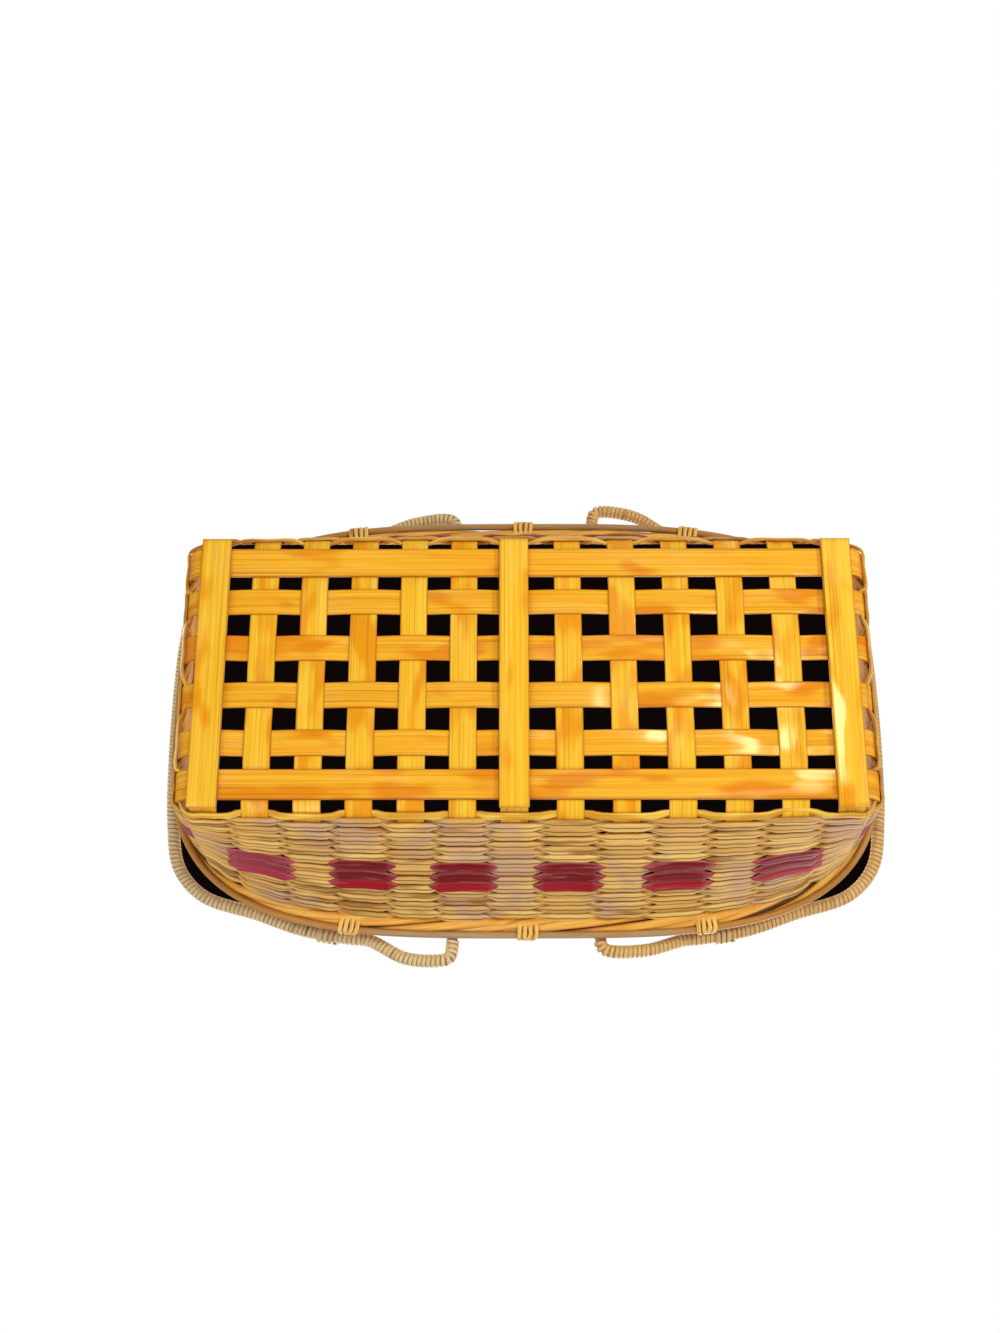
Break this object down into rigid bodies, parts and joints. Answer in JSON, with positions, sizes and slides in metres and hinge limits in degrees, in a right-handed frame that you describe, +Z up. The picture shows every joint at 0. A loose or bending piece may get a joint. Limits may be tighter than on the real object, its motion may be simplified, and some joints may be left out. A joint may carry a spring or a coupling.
{
  "type": "harvest basket",
  "caption": "Shallow rectangular harvest basket: plaited bamboo base, flared woven reed wall with a dyed band, bound rim and two folding cane-wrapped swing handles.",
  "frame": {"origin": "on the floor under the middle of the base, at the underside of the runners", "axes": "+X to the right along the length, +Y to the back, +Z up out of the mouth"},
  "size_m": [0.4274, 0.2936, 0.1032],
  "materials": {
    "bamboo": "split bamboo with a thin worn varnish",
    "reed": "bare dusty reed, satin",
    "dyed_reed": "reed dyed dark red, faded in places",
    "border_cane": "varnished cane strands",
    "handle_cane": "flat cane wrapped close, worn satin",
    "rattan": "round rattan, bare and greyed"
  },
  "bodies": {
    "basket": {"cross_splint_01": "bamboo", "cross_splint_02": "bamboo", "cross_splint_03": "bamboo", "cross_splint_04": "bamboo", "cross_splint_05": "bamboo", "cross_splint_06": "bamboo", "cross_splint_07": "bamboo", "cross_splint_08": "bamboo", "cross_splint_09": "bamboo", "cross_splint_10": "bamboo", "cross_splint_11": "bamboo", "cross_splint_12": "bamboo", "cross_splint_13": "bamboo", "long_splint_1": "bamboo", "long_splint_2": "bamboo", "long_splint_3": "bamboo", "long_splint_4": "bamboo", "edge_slat_front": "bamboo", "edge_slat_back": "bamboo", "runner_left": "bamboo", "runner_centre": "bamboo", "runner_right": "bamboo", "lower_course_1": "reed", "lower_course_2": "reed", "lower_course_3": "reed", "band_course": "reed", "upper_course_1": "reed", "upper_course_2": "reed", "dyed_course_1": "dyed_reed", "dyed_course_2": "dyed_reed", "rim_border": "border_cane", "rim_hoop": "rattan", "lashing_front_left": "border_cane", "lashing_front_middle": "border_cane", "lashing_front_right": "border_cane", "lashing_back_left": "border_cane", "lashing_back_middle": "border_cane", "lashing_back_right": "border_cane"},
    "handle_right": {"handle_rod_right": "rattan", "handle_wrap_right": "handle_cane", "pivot_knot_front_right": "rattan", "pivot_knot_back_right": "rattan", "whipping_front_right": "border_cane", "whipping_back_right": "border_cane"},
    "handle_left": {"handle_rod_left": "rattan", "handle_wrap_left": "handle_cane", "pivot_knot_front_left": "rattan", "pivot_knot_back_left": "rattan", "whipping_front_left": "border_cane", "whipping_back_left": "border_cane"}
  },
  "joints": [
    {"name": "right_handle_swing", "type": "hinge", "parent": "basket", "child": "handle_right", "pos_m": [0.042, 0, 0.091], "axis": [0, -1, 0], "range_deg": [0, 98]},
    {"name": "left_handle_swing", "type": "hinge", "parent": "basket", "child": "handle_left", "pos_m": [-0.042, 0, 0.091], "axis": [0, 1, 0], "range_deg": [0, 98]}
  ]
}
